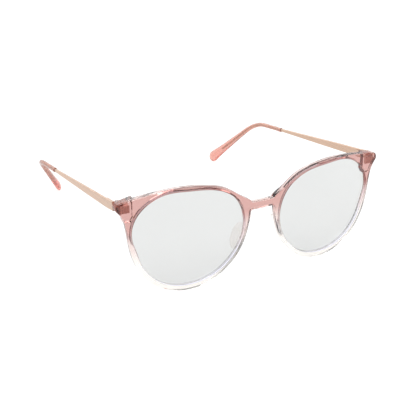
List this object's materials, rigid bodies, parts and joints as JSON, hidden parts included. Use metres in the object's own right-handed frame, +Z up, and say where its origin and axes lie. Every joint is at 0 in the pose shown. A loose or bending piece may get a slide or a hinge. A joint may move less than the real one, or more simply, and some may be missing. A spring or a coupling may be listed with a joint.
{
  "type": "eyeglasses",
  "caption": "Clear-lensed glasses with a see-through moulded front, slim flat metal temples that fold on screw hinges, and curved ear tips.",
  "frame": {"origin": "on the floor plane that the rims and the ends of the temple tips stand on, under the middle of the open glasses", "axes": "+Z up, -Y the way the lenses face, +X towards the wearer's left"},
  "size_m": [0.1396, 0.1437, 0.0512],
  "materials": {
    "front_plastic": "polished see-through plastic, dusty rose above and clear below",
    "lens": "polished clear lens with a pale blue-violet coating",
    "nose_pad": "clear polished",
    "hinge_metal": "satin rose gold",
    "screw_metal": "machined",
    "temple_metal": "satin rose gold",
    "tip_plastic": "translucent coral, polished"
  },
  "bodies": {
    "front": {"front_frame": "front_plastic", "lens_right": "lens", "nose_pad_right": "nose_pad", "front_hinge_right": "hinge_metal", "hinge_screw_right": "screw_metal", "lens_left": "lens", "nose_pad_left": "nose_pad", "front_hinge_left": "hinge_metal", "hinge_screw_left": "screw_metal"},
    "temple_right": {"temple_right": "temple_metal", "temple_tip_right": "tip_plastic", "temple_hinge_right": "hinge_metal"},
    "temple_left": {"temple_left": "temple_metal", "temple_tip_left": "tip_plastic", "temple_hinge_left": "hinge_metal"}
  },
  "joints": [
    {"name": "fold_right", "type": "hinge", "parent": "front", "child": "temple_right", "pos_m": [-0.0664, -0.05877, 0.04415], "axis": [0, 0, -1], "range_deg": [0, 80]},
    {"name": "fold_left", "type": "hinge", "parent": "front", "child": "temple_left", "pos_m": [0.0664, -0.05877, 0.04415], "axis": [0, 0, 1], "range_deg": [0, 85]}
  ]
}
